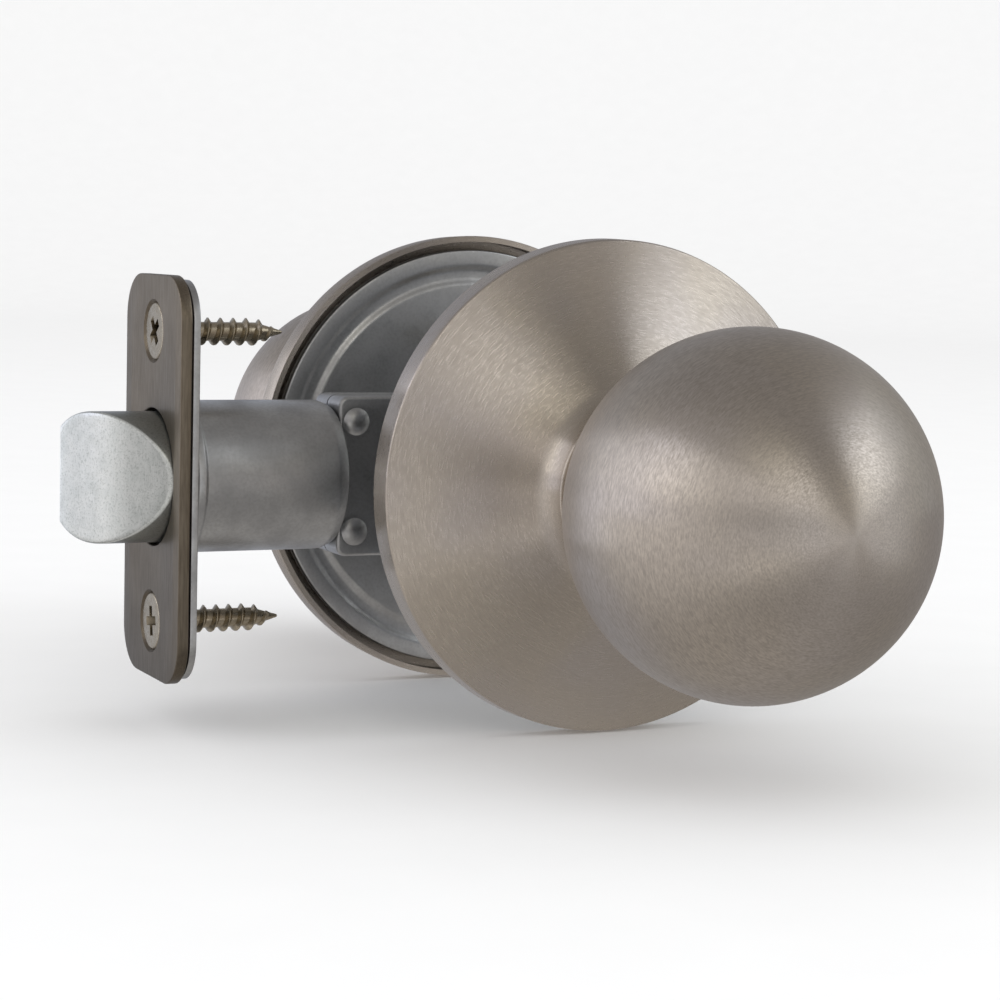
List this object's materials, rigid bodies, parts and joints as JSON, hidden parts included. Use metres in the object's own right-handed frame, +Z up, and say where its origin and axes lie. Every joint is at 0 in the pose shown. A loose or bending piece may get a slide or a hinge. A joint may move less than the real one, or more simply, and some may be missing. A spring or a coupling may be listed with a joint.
{
  "type": "door knob set",
  "caption": "Tubular passage door knob set: ball knobs on round roses each side of a door, square spindle, and a spring latch with bevelled bolt and faceplate.",
  "frame": {"origin": "where the spindle's axis crosses the latch's centreline, in the middle of the door's thickness", "axes": "+Y along the spindle from the exterior knob to the interior knob, -X along the latch towards the door's edge, +Z up"},
  "size_m": [0.1067, 0.1776, 0.0704],
  "materials": {
    "satin_nickel": "satin nickel with fine circular brushing",
    "plate_nickel": "darker satin nickel brushed along its length",
    "screw_nickel": "bright yellowish nickel plate",
    "cast_zinc": "tumbled zinc casting, pale and cloudy",
    "plated_steel": "zinc plated sheet and bar",
    "spring_steel": "drawn wire",
    "nylon": "natural nylon"
  },
  "bodies": {
    "fixed_hardware": {"exterior_rose": "satin_nickel", "exterior_mounting_plate": "plated_steel", "exterior_bushing": "nylon", "interior_rose": "satin_nickel", "interior_mounting_plate": "plated_steel", "interior_bushing": "nylon", "threaded_post_upper": "plated_steel", "threaded_post_lower": "plated_steel", "mounting_screw_upper": "screw_nickel", "mounting_screw_lower": "screw_nickel", "latch_faceplate": "plate_nickel", "latch_back_plate": "plated_steel", "latch_barrel": "plated_steel", "latch_case_exterior_half": "plated_steel", "latch_case_interior_half": "plated_steel", "case_rivet_front_upper": "plated_steel", "case_rivet_front_lower": "plated_steel", "case_rivet_rear": "plated_steel", "faceplate_screw_upper": "screw_nickel", "faceplate_screw_lower": "screw_nickel", "bolt_spring": "spring_steel", "retractor_spring_upper": "spring_steel", "retractor_spring_lower": "spring_steel"},
    "knobs": {"exterior_knob_shell": "satin_nickel", "exterior_knob_shank": "satin_nickel", "exterior_retaining_ring": "spring_steel", "interior_knob_shell": "satin_nickel", "interior_knob_shank": "satin_nickel", "interior_retaining_ring": "spring_steel", "spindle": "plated_steel", "latch_hub": "plated_steel"},
    "bolt": {"latch_bolt": "cast_zinc", "tail_rod": "plated_steel", "retractor_slide": "plated_steel"}
  },
  "joints": [
    {"name": "knob_turn", "type": "hinge", "parent": "fixed_hardware", "child": "knobs", "pos_m": [0, 0, 0], "axis": [0, 1, 0], "range_deg": [0, 75], "stiffness_Nm_per_rad": 0.12, "springref_deg": -28.65},
    {"name": "bolt_slide", "type": "slide", "parent": "fixed_hardware", "child": "bolt", "axis": [1, 0, 0], "range_m": [0, 0.0112], "deforming": ["bolt_spring", "retractor_spring_upper", "retractor_spring_lower"]}
  ],
  "couplings": [
    {"joint": "bolt_slide", "follows": "knob_turn", "m_per_rad": 0.00855}
  ]
}
